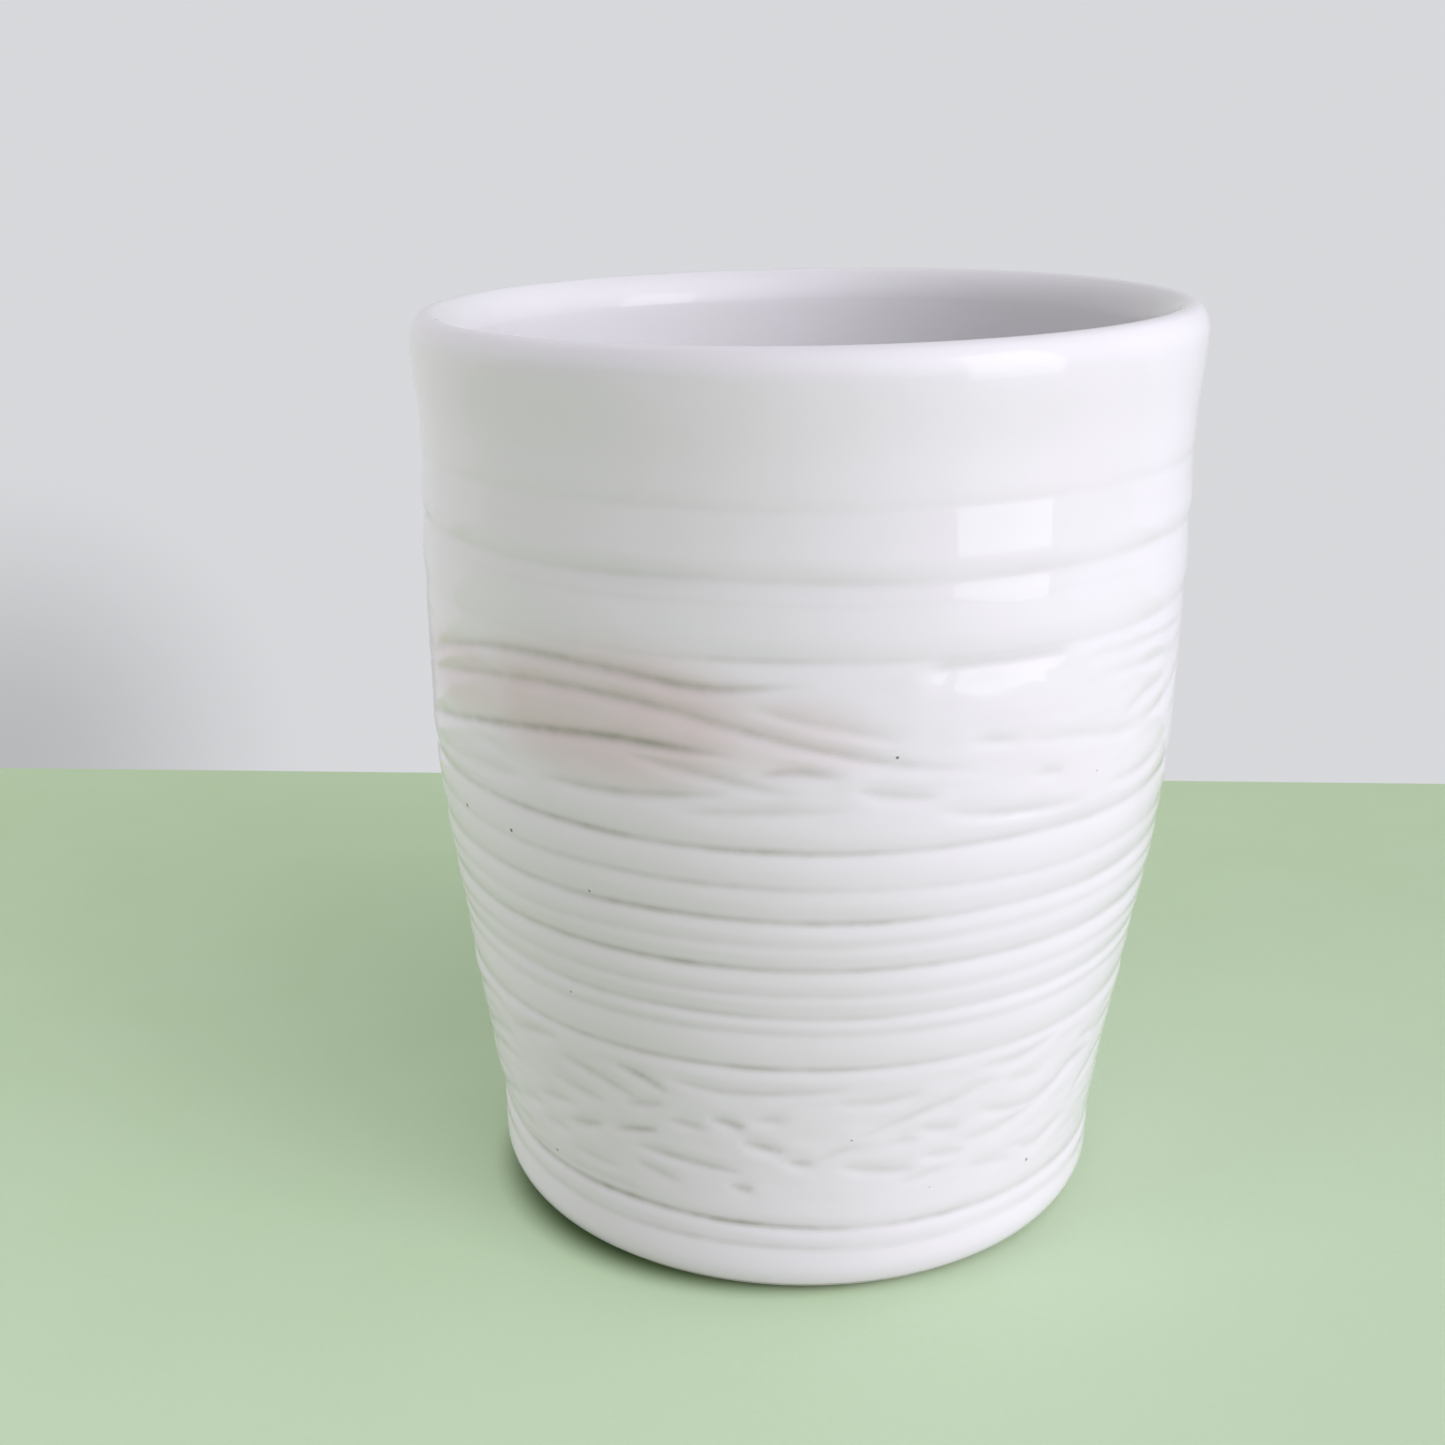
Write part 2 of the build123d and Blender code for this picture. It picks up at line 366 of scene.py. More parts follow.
def add_ring_groove(number, row, z, pool_weight, depth, pool):
    """Cut one groove that runs all the way round. depth is kept to DEPTH_POWER until all grooves are in."""
    height, rise, groove_depth, pooling, below, above = RING_GROOVES[number]
    line = height + rise * np.sin(np.radians(row)) + RING_WANDER * closed_noise(row, WANDER_SEED + number)
    strength = 1.0 + RING_VARIATION * closed_noise(row, DEPTH_SEED + number, *DEPTH_WAVES)
    if height == FADED_GROOVE:
        for side in FRONT_AND_BACK:
            away = np.abs(turned_from(row, FADED_CENTRE, side))
            strength = strength * (1.0 - FADED_SHARE * smoothstep((FADED_REACH - away) / FADED_EASE))
    distance = z - line[None, :]
    width = np.where(distance < 0.0, below, above)
    depth += (groove_depth * strength[None, :] * groove_profile(distance, width)) ** DEPTH_POWER
    variation = strength + RING_VARIATION * closed_noise(row, POOL_SEED + number, *POOL_WAVES)
    darkness = pooling * pool_weight * np.clip(variation, *POOL_REACH)
    np.maximum(pool, darkness[None, :] * np.exp(-((distance / POOL_WIDTH) ** 2)), out=pool)


def add_crossing_groove(groove, side, row, z, pool_weight, depth, pool):
    """Cut one short groove between crossing strings, on the front or half a turn round."""
    groove_depth, pooling, points = groove
    start, end = points[0][0], points[-1][0]
    here = (row - CROSSING_TURN - side - start) % FULL_TURN + start
    inside = here <= end
    line = groove_line(points, here[inside])
    share = (here[inside] - start) / (end - start)
    taper = np.clip(4.0 * share * (1.0 - share), 0.0, 1.0) ** SHORT_TAPER_POWER
    if end - start > LONG_GROOVE:
        taper = smoothstep(share * LONG_TAPER) * smoothstep((1.0 - share) * LONG_TAPER)
    distance = z[:, inside] - line[None, :]
    width = (GROOVE_WIDTH * (END_WIDTH + (1.0 - END_WIDTH) * taper))[None, :]
    depth[:, inside] += (groove_depth * taper[None, :] * groove_profile(distance, width)) ** DEPTH_POWER
    pool_width = (POOL_WIDTH * (POOL_END_WIDTH + POOL_WIDTH_GAIN * taper))[None, :]
    darkness = pooling * (taper * pool_weight[inside])[None, :] * np.exp(-((distance / pool_width) ** 2))
    pool[:, inside] = np.maximum(pool[:, inside], darkness)


def add_wide_string(row, z, depth):
    """Cut the groove over the wide string."""
    centre, half_width, height, groove_depth, under, over = WIDE_STRING
    width = np.where(z < height, under, over)
    for side in FRONT_AND_BACK:
        away = np.abs(turned_from(row, centre, side))
        here = smoothstep((half_width - away) / WIDE_STRING_EASE)[None, :]
        depth += (groove_depth * here * groove_profile(z - height, width)) ** DEPTH_POWER


def lattice(degrees, z):
    """Shallow hollows between the strings that cross each other in the crossing bands."""
    turn = np.radians(degrees)
    rising = np.cos(LATTICE_TURNS * turn * 0.5 + z / LATTICE_SLANT * 0.5)
    falling = np.cos(LATTICE_TURNS * turn * 0.5 - z / LATTICE_SLANT * 0.5 + LATTICE_PHASE)
    hollow = 1.0 - np.maximum(np.abs(rising), np.abs(falling)) ** 2
    inside = sum(
        smoothstep((z - low) / BAND_EASE) * smoothstep((high - z) / BAND_EASE)
        for low, high in CROSSING_BANDS
    )
    return LATTICE_DEPTH * inside * hollow


def relief(degrees, z):
    """Depth below the string crowns, and pooled glaze from 0 upwards, on a grid of angles and heights."""
    depth = np.zeros_like(z)
    pool = np.zeros_like(z)
    row = degrees[0]
    pool_weight = pooling_round_cup(row)
    for number in range(len(RING_GROOVES)):
        add_ring_groove(number, row, z, pool_weight, depth, pool)
    for side in FRONT_AND_BACK:
        for groove in UPPER_CROSSINGS + LOWER_CROSSINGS:
            add_crossing_groove(groove, side, row, z, pool_weight, depth, pool)
    add_wide_string(row, z, depth)
    return depth ** (1.0 / DEPTH_POWER) + lattice(degrees, z), pool


def lip_shift(degrees, z):
    """How far the lip's lean and slow waves raise each point."""
    share = smoothstep((z - LEAN_START) / (HEIGHT - LEAN_START))
    lean = LIP_LEAN * np.sin(np.radians(degrees))
    return share * (lean + LIP_WAVE * closed_noise(degrees, LIP_SEED, *LIP_WAVES))


def crossing_swell(degrees, z):
    """The strings that cross above the foot stand out a little at the cup's two sides."""
    low, high = CROSSING_BANDS[0]
    inside = smoothstep((z - low + SWELL_BELOW) / SWELL_EASE_BELOW)
    inside = inside * smoothstep((high + SWELL_ABOVE - z) / SWELL_EASE_ABOVE)
    side = np.sin(np.radians(degrees))
    return inside * (SIDE_SWELL * side ** 2 - LEFT_SWELL * side)


def band_recess(z):
    """The plain band under the lip is slightly hollow, and widens into the lip."""
    hollow = smoothstep((z - TOP_STRING_CROWN) / (BAND_START - TOP_STRING_CROWN)) * BAND_RECESS
    widen = smoothstep((z - WIDENING_START) / (LIP_START - WIDENING_START))
    top = crown_radius(LIP_START) - LIP_OUTER
    return hollow * (1.0 - widen) + top * widen


def foot_corner(angle, radius):
    """Point on the foot's rounded corner, the angle counted from straight down."""
    turn = np.radians(angle)
    return FOOT_RADIUS - FOOT_ROUNDING + radius * np.sin(turn), FOOT_ROUNDING - radius * np.cos(turn)


def lip_corner(angle, inset):
    """Point on the lip, the angle counted from the outside over its small crown rounding."""
    angle = np.asarray(angle, float)
    outside, inside = angle < OUTSIDE_JOIN, angle > INSIDE_JOIN
    radius = np.select([outside, inside], [OUTSIDE_ROUNDING, INSIDE_ROUNDING], CROWN_ROUNDING)
    join = np.radians(np.where(inside, INSIDE_JOIN, OUTSIDE_JOIN))
    spread = radius - CROWN_ROUNDING
    ease = LIP_SPREAD * math.cos(math.radians(OUTSIDE_JOIN))
    centre_r = LIP_OUTER - OUTSIDE_ROUNDING + ease - spread * np.cos(join)
    centre_z = HEIGHT - CROWN_ROUNDING - spread * np.sin(join)
    turn = np.radians(angle)
    return centre_r + (radius - inset) * np.cos(turn), centre_z + (radius - inset) * np.sin(turn)


def inner_profile(inset):
    """Radius and height down the inside wall, round the floor corner and in to the floor's flat."""
    lip_r, lip_z = lip_corner(INSIDE_END, 0.0)
    heights = np.linspace(lip_z, FLOOR_CORNER_TOP, WALL_ROWS)
    wall = crown_radius(heights) - WALL
    blend = np.clip((heights - EASE_START) / (lip_z - EASE_START), 0.0, 1.0) ** 2
    wall = wall * (1.0 - blend) + lip_r * blend
    turn = np.linspace(0.0, 0.5 * math.pi, FLOOR_CORNER_ROWS)[1:]
    corner_r = FLOOR_FLAT + (wall[-1] - FLOOR_FLAT) * np.cos(turn)
    corner_z = FLOOR_CORNER_TOP - (FLOOR_CORNER_TOP - FLOOR_HEIGHT) * np.sin(turn)
    outward = np.concatenate([np.ones(WALL_ROWS), np.cos(turn)])
    downward = np.concatenate([np.zeros(WALL_ROWS), np.sin(turn)])
    radius = np.concatenate([wall, corner_r]) + inset * outward
    height = np.concatenate([heights, corner_z]) - inset * downward
    return radius, height


def ring_mesh(name, radii, heights, attributes=()):
    """Closed mesh of rings with column 0 at the front, from radii and heights given row by row."""
    rows, columns = radii.shape
    turn = np.radians(np.arange(columns) * FULL_TURN / columns)
    x = radii * np.sin(turn)[None, :]
    y = -radii * np.cos(turn)[None, :]
    verts = np.stack([x, y, heights], -1).reshape(-1, 3) * MM
    a = np.arange(rows)[:, None] * columns + np.arange(columns)[None, :]
    b = np.arange(rows)[:, None] * columns + (np.arange(columns)[None, :] + 1) % columns
    total = rows * columns
    faces = np.stack([a, b, (b + columns) % total, (a + columns) % total], -1).reshape(-1, 4)
    mesh = bpy.data.meshes.new(name)
    mesh.from_pydata(verts.tolist(), [], faces.tolist())
    mesh.polygons.foreach_set("use_smooth", [True] * len(mesh.polygons))
    for key, values in attributes:
        layer = mesh.attributes.new(key, "FLOAT", "POINT")
        layer.data.foreach_set("value", np.ascontiguousarray(values, np.float32).ravel())
    mesh.update()
    piece = bpy.data.objects.new(name, mesh)
    bpy.context.scene.collection.objects.link(piece)
    return piece


def all_round(values):
    """The same value in every column of each row."""
    return np.outer(values, np.ones(COLUMNS))


def uneven_wall(unevenness, degrees, z):
    """Slow random swelling of a wall, which turns a little on its way up."""
    return sum(
        size * closed_noise(degrees + twist * z, seed, waves, slowest)
        for size, twist, seed, waves, slowest in unevenness
    )


def outer_rows():
    """Heights of the rows of the glazed outside between the foot corner and the lip."""
    first, last = RELIEF_ROWS
    foot = np.linspace(FOOT_ROUNDING, first, FOOT_WALL_ROWS)
    strings = np.arange(first + ROW_STEP, last, ROW_STEP)
    band = np.linspace(BAND_ROWS_START, LIP_START, BAND_ROWS)
    return np.concatenate([foot, strings, band])


def make_outer_glaze():
    """Gloss coat with the wound-string relief, from the foot's glaze line over the lip's crown."""
    degrees, z = np.meshgrid(COLUMN_ANGLES, outer_rows())
    depth, pool = relief(degrees, z)
    fade = smoothstep((LIP_START - z) / UNEVEN_FADE) * smoothstep((z - FOOT_ROUNDING) / UNEVEN_FOOT_FADE)
    uneven = uneven_wall(OUTSIDE_UNEVENNESS, degrees, z)
    wall_r = crown_radius(z) - depth - band_recess(z) + crossing_swell(degrees, z) + uneven * fade
    foot_angles = np.linspace(GLAZE_LINE_ANGLE, 90.0, FOOT_CORNER_ROWS)[:-1]
    foot_r, foot_z = foot_corner(foot_angles, FOOT_ROUNDING)
    lip_angles = np.linspace(0.0, CROWN_SEAM, LIP_ROWS)[1:-1]
    lip_angles = np.append(lip_angles, (CROWN_SEAM - SEAM_STEP, CROWN_SEAM))
    lip_r, lip_z = lip_corner(lip_angles, 0.0)
    # The coat's back: over the lip again, down a plain wall under the relief, and to the glaze line
    back_lip_r, back_lip_z = lip_corner(np.linspace(CROWN_SEAM, 0.0, BACK_LIP_ROWS), GLAZE)
    back_wall_z = np.linspace(*HIDDEN_WALL, BACK_WALL_ROWS)[::-1]
    inner_foot_r, inner_foot_z = foot_corner(GLAZE_LINE_ANGLE, FOOT_ROUNDING - GLAZE)
    back_r = np.concatenate([back_lip_r, crown_radius(back_wall_z) - BODY_CLEARANCE, [inner_foot_r]])
    back_z = np.concatenate([back_lip_z, back_wall_z, [inner_foot_z]])
    radii = np.concatenate([all_round(foot_r), wall_r, all_round(lip_r), all_round(back_r)])
    heights = np.concatenate([all_round(foot_z), z, all_round(lip_z), all_round(back_z)])
    heights = heights + lip_shift(np.tile(COLUMN_ANGLES, (len(heights), 1)), heights)
    relief_rows = slice(len(foot_r), len(foot_r) + len(z))
    pooled = np.zeros_like(radii)
    pooled[relief_rows] = pool
    # Depth of the relief, which sets the painted shade in the deeper hollows
    hollow = np.zeros_like(radii)
    hollow[relief_rows] = depth / FULL_DEPTH
    return ring_mesh("outer_glaze_relief", radii, heights, [("pool", pooled), ("hollow", hollow)])


def make_liner_glaze():
    """Gloss coat inside, from the lip's crown to the floor."""
    lip_angles = np.linspace(CROWN_SEAM, INSIDE_END, INNER_LIP_ROWS)[1:-1]
    lip_angles = np.append((CROWN_SEAM, CROWN_SEAM + SEAM_STEP), lip_angles)
    lip_r, lip_z = lip_corner(lip_angles, 0.0)
    wall_r, wall_z = inner_profile(0.0)
    back_wall_r, back_wall_z = inner_profile(GLAZE)
    back_lip_r, back_lip_z = lip_corner(lip_angles, GLAZE)
    floor_r = np.array(FLOOR_RINGS)
    floor_z = np.full(len(floor_r), FLOOR_HEIGHT)
    front = [lip_r, wall_r, floor_r]
    back = [floor_r[::-1], back_wall_r[::-1], back_lip_r[::-1]]
    radius = np.concatenate(front + back)
    front = [lip_z, wall_z, floor_z]
    back = [floor_z - GLAZE, back_wall_z[::-1], back_lip_z[::-1]]
    degrees, heights = np.meshgrid(COLUMN_ANGLES, np.concatenate(front + back))
    rise = np.clip((heights - FLOOR_CORNER_TOP) / INSIDE_UNEVEN_RISE, 0.0, 1.0)
    fade = smoothstep((LIP_START - heights) / UNEVEN_FADE)
    radii = all_round(radius) + uneven_wall(INSIDE_UNEVENNESS, degrees, heights) * rise * fade
    heights = heights + lip_shift(degrees, heights)
    return ring_mesh("liner_glaze_shell", radii, heights)


def make_body():
    """The porcelain itself, showing only as the bare foot ring."""
    foot_r, foot_z = foot_corner(np.linspace(0.0, GLAZE_LINE_ANGLE, BARE_FOOT_ROWS), FOOT_ROUNDING)
    under_r, under_z = foot_corner(GLAZE_LINE_ANGLE, FOOT_ROUNDING - GLAZE)
    wall_z = np.linspace(*HIDDEN_WALL, BODY_WALL_ROWS)
    wall_r = crown_radius(wall_z) - BODY_CLEARANCE
    lip_r, lip_z = lip_corner(np.linspace(0.0, INSIDE_END, BODY_LIP_ROWS)[:-1], GLAZE)
    inner_r, inner_z = inner_profile(GLAZE)
    underside_r = [AXIS_GAP, AXIS_GAP, RECESS_RADIUS, RING_INNER - RING_EASE, RING_INNER]
    underside_z = [FLOOR_HEIGHT - GLAZE, RECESS_HEIGHT, RECESS_HEIGHT, RING_EASE_HEIGHT, 0.0]
    radius = np.concatenate([foot_r, [under_r], wall_r, lip_r, inner_r[1:], underside_r])
    height = np.concatenate([foot_z, [under_z], wall_z, lip_z, inner_z[1:], underside_z])
    degrees, heights = np.meshgrid(COLUMN_ANGLES, height)
    heights = heights + lip_shift(degrees, heights)
    return ring_mesh("porcelain_body_casting", all_round(radius), heights)


class Graph:
    """Small helper to wire the nodes of a material or of the world."""

    def __init__(self, owner, shader):
        owner.use_nodes = True
        self.owner = owner
        self.tree = owner.node_tree
        self.shader = self.tree.nodes[shader]

    def put(self, value, socket):
        """Link another node's output to a socket, or set the socket to a plain value."""
        if isinstance(value, bpy.types.NodeSocket):
            self.tree.links.new(value, socket)
        else:
            socket.default_value = value

    def node(self, kind, inputs=(), **settings):
        made = self.tree.nodes.new(kind)
        for key, value in settings.items():
            setattr(made, key, value)
        for key, value in dict(inputs).items():
            self.put(value, made.inputs[key])
        return made

    def noise(self, place, scale, detail):
        inputs = {"Vector": place, "Scale": scale, "Detail": detail}
        return self.node("ShaderNodeTexNoise", inputs).outputs["Fac"]

    def math(self, operation, a, b, clamp=False):
        return self.node("ShaderNodeMath", {0: a, 1: b}, operation=operation, use_clamp=clamp).outputs[0]

    def vector(self, operation, a, b, output="Vector"):
        return self.node("ShaderNodeVectorMath", {0: a, 1: b}, operation=operation).outputs[output]

    def distance(self, a, b):
        return self.vector("DISTANCE", a, b, "Value")

    def scaled(self, colour, level):
        inputs = {0: colour, "Scale": level}
        return self.node("ShaderNodeVectorMath", inputs, operation="SCALE").outputs[0]

    def ramp(self, value, low, high, to_low=0.0, to_high=1.0, smooth=True):
        kind = "SMOOTHSTEP" if smooth else "LINEAR"
        inputs = {"Value": value, "From Min": low, "From Max": high, "To Min": to_low, "To Max": to_high}
        return self.node("ShaderNodeMapRange", inputs, interpolation_type=kind).outputs[0]

    def mix(self, share, a, b):
        """Mix two colours, each an output of another node or three plain numbers."""
        made = self.node("ShaderNodeMix", {0: share}, data_type="RGBA")
        for key, value in ((6, a), (7, b)):
            is_socket = isinstance(value, bpy.types.NodeSocket)
            self.put(value if is_socket else (*value, 1.0), made.inputs[key])
        return made.outputs[2]

    def place(self):
        return self.node("ShaderNodeTexCoord").outputs["Object"]

    def bump(self, height, strength, distance):
        inputs = {"Strength": strength, "Distance": distance, "Height": height}
        self.link(self.node("ShaderNodeBump", inputs).outputs[0], "Normal")

    def link(self, value, socket):
        self.tree.links.new(value, self.shader.inputs[socket])


# Noise in the materials: (scale in the space of a metre, detail)
GLAZE_CLOUDS = (38.0, 3.0)
GLAZE_SMEARS = (140.0, 3.0)
GLAZE_WAVES = (220.0, 2.0)
BLUSH_BLOTCHES = (90.0, 4.0)
POOL_STREAKS = (420.0, 3.0)
BARE_GRAIN = (900.0, 4.0)
BARE_PATCHES = (60.0, 3.0)
TABLE_MOTTLING = (60.0, 4.0)
TABLE_GRAIN = (1400.0, 2.0)
# Most noise lies between these values, so ramps between them use their full reach
NOISE_REACH = (0.3, 0.7)
NOISE_MIDDLE = (0.35, 0.65)

# Roughness goes from the first value to the second. Bumps have (strength, distance in metres)
GLAZE_ROUGHNESS = (0.010, 0.024)
GLAZE_BUMP = (0.035, 0.0004)
GLAZE_IOR = 1.42
BARE_ROUGHNESS = (0.62, 0.82)
BARE_BUMP = (0.25, 0.0001)
TABLE_ROUGHNESS = (0.55, 0.65)
TABLE_BUMP = (0.04, 0.0003)
TABLE_SPECULAR = 0.25

# Colours of the porcelain and its glaze. Each white drifts a little towards a warmer one
OUTSIDE_WHITES = (0.868, 0.85, 0.893), (0.852, 0.834, 0.866)
INSIDE_WHITES = (0.868, 0.860, 0.886), (0.852, 0.844, 0.860)
# Colour of pooled glaze, also used for the painted shade in the deeper hollows
POOLED_GLAZE_AND_SHADE = (0.35, 0.345, 0.28)
BLUSH = (0.76, 0.60, 0.60)
SPECK = (0.16, 0.13, 0.12)
BARE = (0.76, 0.73, 0.68)
BARE_DIRT = (0.70, 0.66, 0.60)
DIRT_REACH = (0.4, 0.7)

# Pink blush in the outside glaze: (degrees, height, half width, half height, strength)
BLUSH_SPOTS = [
    (-27.0, 65.3, 20.0, 8.8, 0.56),
    (-57.0, 65.0, 17.0, 4.6, 0.40),
    (-2.0, 64.5, 11.0, 5.0, 0.30),
]
BLUSH_EDGE, BLUSH_CORE = 1.05, 0.45
BLUSH_VARIATION = (0.75, 1.1)
# Pooled glaze is streaky, and the deeper hollows of the relief are shaded a little
POOL_VARIATION = (0.7, 1.1)
POOL_SHARE = 0.48
HOLLOW_SHADED = (0.35, 1.0)
HOLLOW_SHARE = 0.05
SPECK_EDGE, SPECK_CORE = 1.15, 0.3
# Spots and specks are centred this far under the string crowns
MARK_DEPTH = 0.1


def surface_point(degrees, height):
    """Place of a mark on the outside, in metres."""
    turn = math.radians(degrees)
    radius = float(crown_radius(height)) - MARK_DEPTH
    return Vector((radius * math.sin(turn), -radius * math.cos(turn), height)) * MM


def blush_share(g, place):
    """How much of the colour is blush: soft, slightly blotchy spots."""
    share = 0.0
    for degrees, height, wide, tall, strength in BLUSH_SPOTS:
        offset = g.vector("SUBTRACT", place, surface_point(degrees, height))
        offset = g.vector("DIVIDE", offset, (wide * MM, wide * MM, tall * MM))
        away = g.distance(offset, (0.0, 0.0, 0.0))
        share = g.math("MAXIMUM", share, g.ramp(away, BLUSH_EDGE, BLUSH_CORE, 0.0, strength))
    blotches = g.ramp(g.noise(place, *BLUSH_BLOTCHES), *NOISE_REACH, *BLUSH_VARIATION)
    return g.math("MULTIPLY", share, blotches, clamp=True)


def pooled_glaze_and_shade_share(g, place):
    """How much of the colour is that of pooled glaze, from the relief's own pool values, and how much is
    painted shade in the deeper hollows, from its hollow values.
    """
    pool = g.node("ShaderNodeAttribute", attribute_name="pool").outputs["Fac"]
    hollow = g.node("ShaderNodeAttribute", attribute_name="hollow").outputs["Fac"]
    streaks = g.ramp(g.noise(place, *POOL_STREAKS), *NOISE_REACH, *POOL_VARIATION)
    pooled = g.math("MULTIPLY", g.math("MULTIPLY", pool, streaks), POOL_SHARE)
    # Painted shade in the deeper hollows of the relief
    shaded = g.math("MULTIPLY", g.ramp(hollow, *HOLLOW_SHADED), HOLLOW_SHARE)
    return g.math("ADD", pooled, shaded, clamp=True)


def with_marks(g, place, colour):
    """The outside's blush, pooled glaze with painted shade in the deeper hollows, and iron specks over its
    plain colour.
    """
    colour = g.mix(blush_share(g, place), colour, BLUSH)
    colour = g.mix(pooled_glaze_and_shade_share(g, place), colour, POOLED_GLAZE_AND_SHADE)
    for degrees, height, radius in SPECKS:
        away = g.distance(place, surface_point(degrees, height))
        dot = g.ramp(away, SPECK_EDGE * radius * MM, SPECK_CORE * radius * MM)
        colour = g.mix(dot, colour, SPECK)
    return colour


def glaze_material(name, whites, marked):
    """Clear gloss glaze over white porcelain, with or without the outside's marks."""
    g = Graph(bpy.data.materials.new(name), "Principled BSDF")
    place = g.place()
    colour = g.mix(g.ramp(g.noise(place, *GLAZE_CLOUDS), *NOISE_MIDDLE), *whites)
    if marked:
        colour = with_marks(g, place, colour)
    g.link(colour, "Base Color")
    g.link(g.ramp(g.noise(place, *GLAZE_SMEARS), *NOISE_REACH, *GLAZE_ROUGHNESS), "Roughness")
    g.bump(g.noise(place, *GLAZE_WAVES), *GLAZE_BUMP)
    g.shader.inputs["IOR"].default_value = GLAZE_IOR
    return g.owner


def bare_porcelain():
    """The unglazed foot ring: matt, grainy and slightly dirty."""
    g = Graph(bpy.data.materials.new("bare_porcelain"), "Principled BSDF")
    place = g.place()
    grain = g.noise(place, *BARE_GRAIN)
    dirt = g.ramp(g.noise(place, *BARE_PATCHES), *DIRT_REACH)
    g.link(g.mix(dirt, BARE, BARE_DIRT), "Base Color")
    g.link(g.ramp(grain, *NOISE_REACH, *BARE_ROUGHNESS), "Roughness")
    g.bump(grain, *BARE_BUMP)
    return g.owner


# Colour of the table at the front and at the back, and where one changes into the other, in metres: green
# paint, lighter and bluer at the front with painted sheen and darker at the back with painted shade
FRONT_PAINT_WITH_SHEEN = (0.605, 0.765, 0.545)
BACK_PAINT_IN_SHADE = (0.56, 0.725, 0.47)
PAINT_AND_LIGHT_CHANGE = (-0.08, 0.12)
# How far mottling and grain shift the paint from one colour to the other
MOTTLING_SHIFT = (-0.05, 0.05)
GRAIN_REACH = (0.25, 0.75)
GRAIN_SHIFT = (-0.16, 0.16)
# Colour of the light that the table throws on to the cup, on the left and on the right, and the change
BOUNCED_LEFT = (0.36, 0.44, 0.24)
BOUNCED_RIGHT = (0.65, 0.68, 0.60)
BOUNCE_CHANGE = (-0.055, 0.015)
# Painted contact shadow on the table in the crease under the foot, strongest low on the left
CREASE_CENTRE = (-0.0049, -0.0034, 0.0)
CREASE_INNER = 0.0258
CREASE_OUTER = 0.0315
CREASE_SHARE = 0.95
CREASE_SHADE = (0.06, 0.11, 0.04)


def table_top():
    """Painted table top, with painted sheen making the front lighter, painted shade making the back darker
    and a painted contact shadow in the crease under the foot. The light that it throws on to the cup is
    greyer than the paint.
    """
    g = Graph(bpy.data.materials.new("table"), "Principled BSDF")
    place = g.place()
    axes = g.node("ShaderNodeSeparateXYZ", {0: place}).outputs
    mottling = g.noise(place, *TABLE_MOTTLING)
    grain = g.ramp(g.noise(place, *TABLE_GRAIN), *GRAIN_REACH, *GRAIN_SHIFT, smooth=False)
    mottled = g.math("ADD", g.ramp(mottling, *NOISE_MIDDLE, *MOTTLING_SHIFT), grain)
    # Painted sheen at the front and painted shade at the back, over the green paint and its mottling
    paint = g.mix(g.math("ADD", g.ramp(axes["Y"], *PAINT_AND_LIGHT_CHANGE), mottled), FRONT_PAINT_WITH_SHEEN, BACK_PAINT_IN_SHADE)
    # Painted contact shadow in the crease under the foot
    crease = g.ramp(g.distance(place, CREASE_CENTRE), CREASE_OUTER, CREASE_INNER, 0.0, CREASE_SHARE)
    paint = g.mix(crease, paint, CREASE_SHADE)
    bounced = g.mix(g.ramp(axes["X"], *BOUNCE_CHANGE), BOUNCED_LEFT, BOUNCED_RIGHT)
    indirect = g.node("ShaderNodeLightPath").outputs["Is Diffuse Ray"]
    g.link(g.mix(indirect, paint, bounced), "Base Color")
    g.link(g.ramp(mottling, *NOISE_REACH, *TABLE_ROUGHNESS), "Roughness")
    g.bump(mottling, *TABLE_BUMP)
    g.shader.inputs["Specular IOR Level"].default_value = TABLE_SPECULAR
    return g.owner


# Pieces of the cup
outer = make_outer_glaze()
outer.data.materials.append(glaze_material("outside_glaze", OUTSIDE_WHITES, True))
liner = make_liner_glaze()
liner.data.materials.append(glaze_material("inside_glaze", INSIDE_WHITES, False))
body = make_body()
body.data.materials.append(bare_porcelain())
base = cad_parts["base_glaze"]
base.data.materials.clear()
base.data.materials.append(liner.data.materials[0])

for piece, node, slot_name in (
    (outer, "outer_glaze", "outside_glaze"),
    (liner, "liner_glaze", "inside_glaze"),
    (body, "porcelain_body", "porcelain"),
):
    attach(piece, "root")
    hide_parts(node)

# The table's edges, in metres. Its back edge runs slightly askew
TABLE_BACK = 0.129
TABLE_SKEW = 0.0125
TABLE_FRONT = -1.0
TABLE_SIDE = 1.2


def make_table():
    skew = TABLE_SKEW * TABLE_SIDE
    corners = [
        (-TABLE_SIDE, TABLE_FRONT, 0.0),
        (TABLE_SIDE, TABLE_FRONT, 0.0),
        (TABLE_SIDE, TABLE_BACK + skew, 0.0),
        (-TABLE_SIDE, TABLE_BACK - skew, 0.0),
    ]
    mesh = bpy.data.meshes.new("table")
    mesh.from_pydata(corners, [], [(0, 1, 2, 3)])
    mesh.materials.append(table_top())
    made = bpy.data.objects.new("table", mesh)
    bpy.context.scene.collection.objects.link(made)
    return made


def area_light(name, position, target, size, power, colour):
    """Rectangular lamp. Places and sizes are in metres, power in watts."""
    data = bpy.data.lights.new(name, "AREA")
    data.shape = "RECTANGLE"
    data.size, data.size_y = size
    data.energy = power
    data.color = colour
    lamp = bpy.data.objects.new(name, data)
    lamp.location = position
    lamp.rotation_euler = (Vector(target) - Vector(position)).to_track_quat("-Z", "Y").to_euler()
    bpy.context.scene.collection.objects.link(lamp)
    return lamp


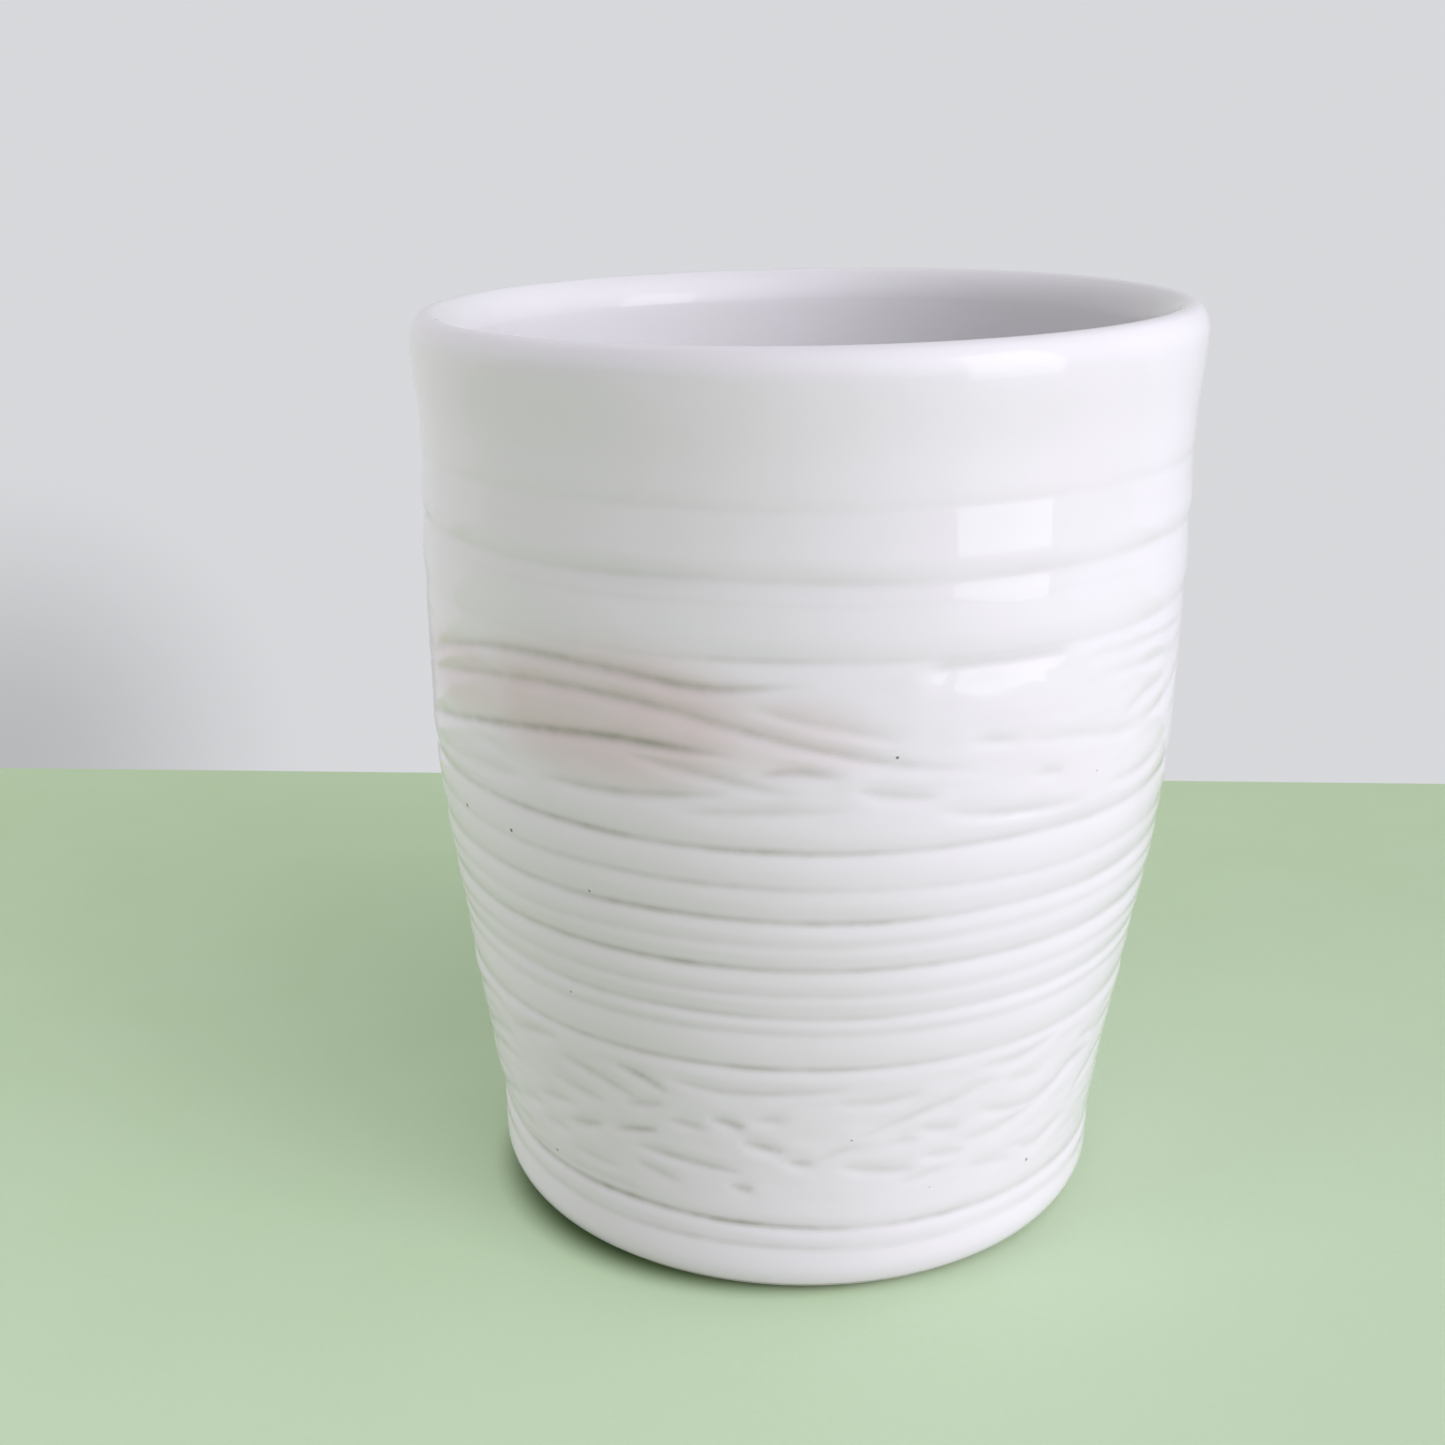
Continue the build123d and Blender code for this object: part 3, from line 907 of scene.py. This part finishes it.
def light_only(lamp, name, pieces):
    """Keep a lamp out of the gloss and let it light these pieces only."""
    lamp.visible_glossy = False
    receivers = bpy.data.collections.new(name)
    for piece in pieces:
        receivers.objects.link(piece)
    lamp.light_linking.receiver_collection = receivers


table = make_table()

# A tall soft window to the front right, facing level towards a point just in front of the cup's axis
WINDOW_AZIMUTH = math.radians(59.0)
WINDOW_DISTANCE = 0.50
WINDOW_TARGET = (0.018, -0.036, 0.27)
window_position = (
    WINDOW_TARGET[0] + WINDOW_DISTANCE * math.sin(WINDOW_AZIMUTH),
    WINDOW_TARGET[1] - WINDOW_DISTANCE * math.cos(WINDOW_AZIMUTH),
    WINDOW_TARGET[2],
)
area_light(
    "window", window_position, WINDOW_TARGET,
    size=(0.275, 0.53), power=0.91, colour=(0.98, 0.965, 1.05),
)
# A low pale panel on the left, under the height of the lip
left_fill = area_light(
    "left_fill", (-0.5, 0.08, 0.075), (0.0, 0.0, 0.05),
    size=(0.5, 0.05), power=0.91, colour=(1.05, 1.0, 1.13),
)
light_only(left_fill, "lit_by_fill", (outer, liner, body))
# Another pale panel lights the table
table_fill = area_light(
    "table_fill", (-0.5, -0.30, 0.30), (-0.12, -0.05, 0.0),
    size=(0.3, 0.2), power=0.66, colour=(0.93, 1.06, 0.74),
)
light_only(table_fill, "lit_table", (table,))

# Soft room light in wide lobes: (degrees to the viewer's right of the front, rise, strength, colour)
DAYLIGHT = (0.985, 0.965, 1.03)
WARM = (1.0, 0.985, 0.95)
ROOM_LIGHT = [
    (45.0, 0.25, 1.42, DAYLIGHT),
    (3.0, 0.60, 0.28, DAYLIGHT),
    (45.0, 1.20, 0.94, DAYLIGHT),
    (90.0, 1.20, 0.45, DAYLIGHT),
    (135.0, 0.25, 0.17, DAYLIGHT),
    (135.0, 1.20, 0.23, DAYLIGHT),
    (-135.0, 0.25, 1.38, WARM),
    (-90.0, 0.25, 0.33, WARM),
]
ROOM_FOCUS = 5.0
# The wall behind the table, how sharply its mirror image ends at the sides, and its dimmer corner low on
# the left
WALL_COLOUR = (0.68, 0.69, 0.71)
WALL_SIDE = (0.0, 1.0, 0.0)
WALL_EDGE = 5.0
DIM_CORNER = (-0.39, 0.87, -0.31)
DIM_SPREAD = 0.16
DIM_LEVEL = 0.70


def room_light(g, toward):
    """Light of the room, falling off smoothly around each lobe's direction."""
    light = (0.0, 0.0, 0.0)
    for degrees, rise, strength, colour in ROOM_LIGHT:
        turn = math.radians(degrees)
        aim = Vector((math.sin(turn), -math.cos(turn), rise)).normalized()
        facing = g.math("MAXIMUM", g.vector("DOT_PRODUCT", toward, aim, "Value"), 0.0)
        level = g.math("MULTIPLY", g.math("POWER", facing, ROOM_FOCUS), strength)
        light = g.vector("ADD", light, g.scaled(colour, level))
    return light


def studio():
    """World with the room's light, and the pale wall for the camera and for what the gloss mirrors."""
    g = Graph(bpy.data.worlds.new("studio"), "Background")
    toward = g.node("ShaderNodeTexCoord").outputs["Generated"]
    g.link(room_light(g, toward), "Color")
    off_corner = g.distance(toward, Vector(DIM_CORNER).normalized())
    wall = g.scaled(WALL_COLOUR, g.ramp(off_corner, 0.0, DIM_SPREAD, DIM_LEVEL, 1.0))
    backdrop = g.node("ShaderNodeBackground", {"Color": wall})
    behind = g.vector("DOT_PRODUCT", toward, WALL_SIDE, "Value")
    behind = g.math("MULTIPLY", behind, WALL_EDGE, clamp=True)
    path = g.node("ShaderNodeLightPath").outputs
    mirrored = g.math("MULTIPLY", path["Is Glossy Ray"], behind)
    seen = g.math("MAXIMUM", path["Is Camera Ray"], mirrored)
    either = g.node("ShaderNodeMixShader", {0: seen, 1: g.shader.outputs[0], 2: backdrop.outputs[0]})
    g.put(either.outputs[0], g.tree.nodes["World Output"].inputs["Surface"])
    return g.owner


scene = bpy.context.scene
scene.world = studio()

# Camera at the photo's viewing angle, in metres, degrees and lens millimetres
CAMERA_PLACE = (0.0, -0.2063, 0.1202)
CAMERA_DIP = 18.11
CAMERA_TURN = 2.59
camera_data = bpy.data.cameras.new("camera")
camera_data.sensor_width = 36.0
camera_data.lens = 47.5
camera_data.shift_x = 0.0033
camera = bpy.data.objects.new("camera", camera_data)
camera.location = CAMERA_PLACE
camera.rotation_euler = (math.radians(90.0 - CAMERA_DIP), 0.0, math.radians(CAMERA_TURN))
scene.collection.objects.link(camera)
bpy.context.scene.camera = camera
scene.view_settings.view_transform = "Standard"
scene.view_settings.exposure = 0.0
